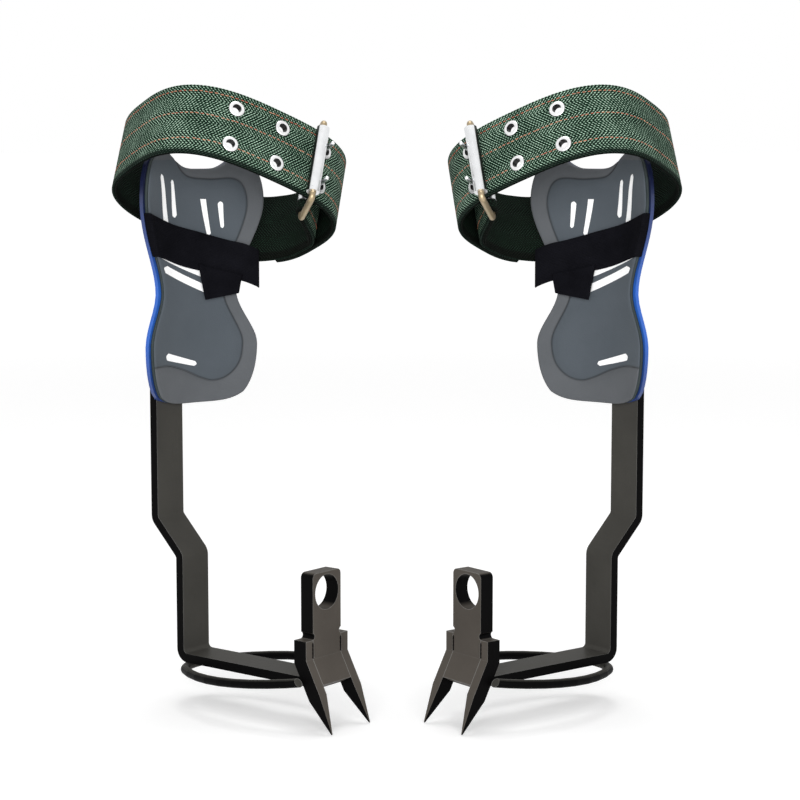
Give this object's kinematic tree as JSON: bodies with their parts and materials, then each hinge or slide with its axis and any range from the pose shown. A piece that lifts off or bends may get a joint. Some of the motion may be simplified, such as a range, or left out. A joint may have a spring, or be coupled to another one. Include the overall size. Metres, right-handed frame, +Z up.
{
  "type": "tree climbing spikes",
  "caption": "Pair of tree climbing spikes: joggled black steel leg irons with twin spikes, foot rings, padded blue cuffs and green webbing calf belts with roller buckles",
  "frame": {"origin": "midway between the two climbers at the level of the spike tips", "axes": "+X across the pair, from the left climber in the picture to the right one; +Y from the near side to the far side; +Z up, from the spike tips to the calf belts"},
  "size_m": [0.3748, 0.1699, 0.4122],
  "materials": {
    "black_steel": "satin black paint",
    "blue_shell": "moulded, edge rubbed darker",
    "dark_foam": "closed-cell foam, cut edge",
    "grey_facing": "brushed synthetic facing",
    "zinc": "zinc plated",
    "green_webbing": "herringbone webbing",
    "dark_webbing": "plain dark green webbing",
    "nickel": "nickel plated",
    "bronze_wire": "yellowed zinc plate",
    "black_hook": "hook-and-loop tape"
  },
  "bodies": {
    "left_climber": {"left_leg_iron": "black_steel", "left_foot_ring": "black_steel", "left_head_plate": "black_steel", "left_front_spike": "black_steel", "left_rear_spike": "black_steel", "left_cuff_shell": "blue_shell", "left_pad_foam": "dark_foam", "left_pad_facing": "grey_facing", "left_cuff_bolts": "zinc", "left_bolt_washers": "zinc", "left_bolt_nuts": "zinc", "left_calf_belt": "green_webbing", "left_belt_lining": "dark_webbing", "left_belt_fold": "dark_webbing", "left_eyelets": "nickel", "left_hook_strap": "black_hook", "left_strap_flap": "black_hook"},
    "left_frame": {"left_buckle_frame": "bronze_wire"},
    "left_roller": {"left_buckle_roller": "nickel"},
    "left_upper_pin": {"left_upper_prong": "nickel"},
    "left_lower_pin": {"left_lower_prong": "nickel"},
    "right_climber": {"right_leg_iron": "black_steel", "right_foot_ring": "black_steel", "right_head_plate": "black_steel", "right_front_spike": "black_steel", "right_rear_spike": "black_steel", "right_cuff_shell": "blue_shell", "right_pad_foam": "dark_foam", "right_pad_facing": "grey_facing", "right_cuff_bolts": "zinc", "right_bolt_washers": "zinc", "right_bolt_nuts": "zinc", "right_calf_belt": "green_webbing", "right_belt_lining": "dark_webbing", "right_belt_fold": "dark_webbing", "right_eyelets": "nickel", "right_hook_strap": "black_hook", "right_strap_flap": "black_hook"},
    "right_frame": {"right_buckle_frame": "bronze_wire"},
    "right_roller": {"right_buckle_roller": "nickel"},
    "right_upper_pin": {"right_upper_prong": "nickel"},
    "right_lower_pin": {"right_lower_prong": "nickel"}
  },
  "joints": [
    {"name": "left_buckle_swing", "type": "hinge", "parent": "left_climber", "child": "left_frame", "pos_m": [-0.05908, 0.00379, 0.35003], "axis": [0.1272, 0.509, 0.8513], "range_deg": [-1, 1]},
    {"name": "left_roller_spin", "type": "hinge", "parent": "left_frame", "child": "left_roller", "pos_m": [-0.05091, -0.02151, 0.36393], "axis": [0.1272, 0.509, 0.8513], "continuous": true},
    {"name": "left_upper_prong_swing", "type": "hinge", "parent": "left_climber", "child": "left_upper_pin", "pos_m": [-0.05908, 0.00379, 0.35003], "axis": [0.1272, 0.509, 0.8513], "range_deg": [-1, 1]},
    {"name": "left_lower_prong_swing", "type": "hinge", "parent": "left_climber", "child": "left_lower_pin", "pos_m": [-0.05908, 0.00379, 0.35003], "axis": [0.1272, 0.509, 0.8513], "range_deg": [-1, 1]},
    {"name": "right_buckle_swing", "type": "hinge", "parent": "right_climber", "child": "right_frame", "pos_m": [0.05908, 0.00379, 0.35003], "axis": [-0.1272, 0.509, 0.8513], "range_deg": [-1, 1]},
    {"name": "right_roller_spin", "type": "hinge", "parent": "right_frame", "child": "right_roller", "pos_m": [0.05091, -0.02151, 0.36393], "axis": [-0.1272, 0.509, 0.8513], "continuous": true},
    {"name": "right_upper_prong_swing", "type": "hinge", "parent": "right_climber", "child": "right_upper_pin", "pos_m": [0.05908, 0.00379, 0.35003], "axis": [-0.1272, 0.509, 0.8513], "range_deg": [-1, 1]},
    {"name": "right_lower_prong_swing", "type": "hinge", "parent": "right_climber", "child": "right_lower_pin", "pos_m": [0.05908, 0.00379, 0.35003], "axis": [-0.1272, 0.509, 0.8513], "range_deg": [-1, 1]},
    {"name": "pair_spread", "type": "slide", "parent": "left_climber", "child": "right_climber", "axis": [1, 0, 0], "range_m": [0, 0.3]}
  ]
}
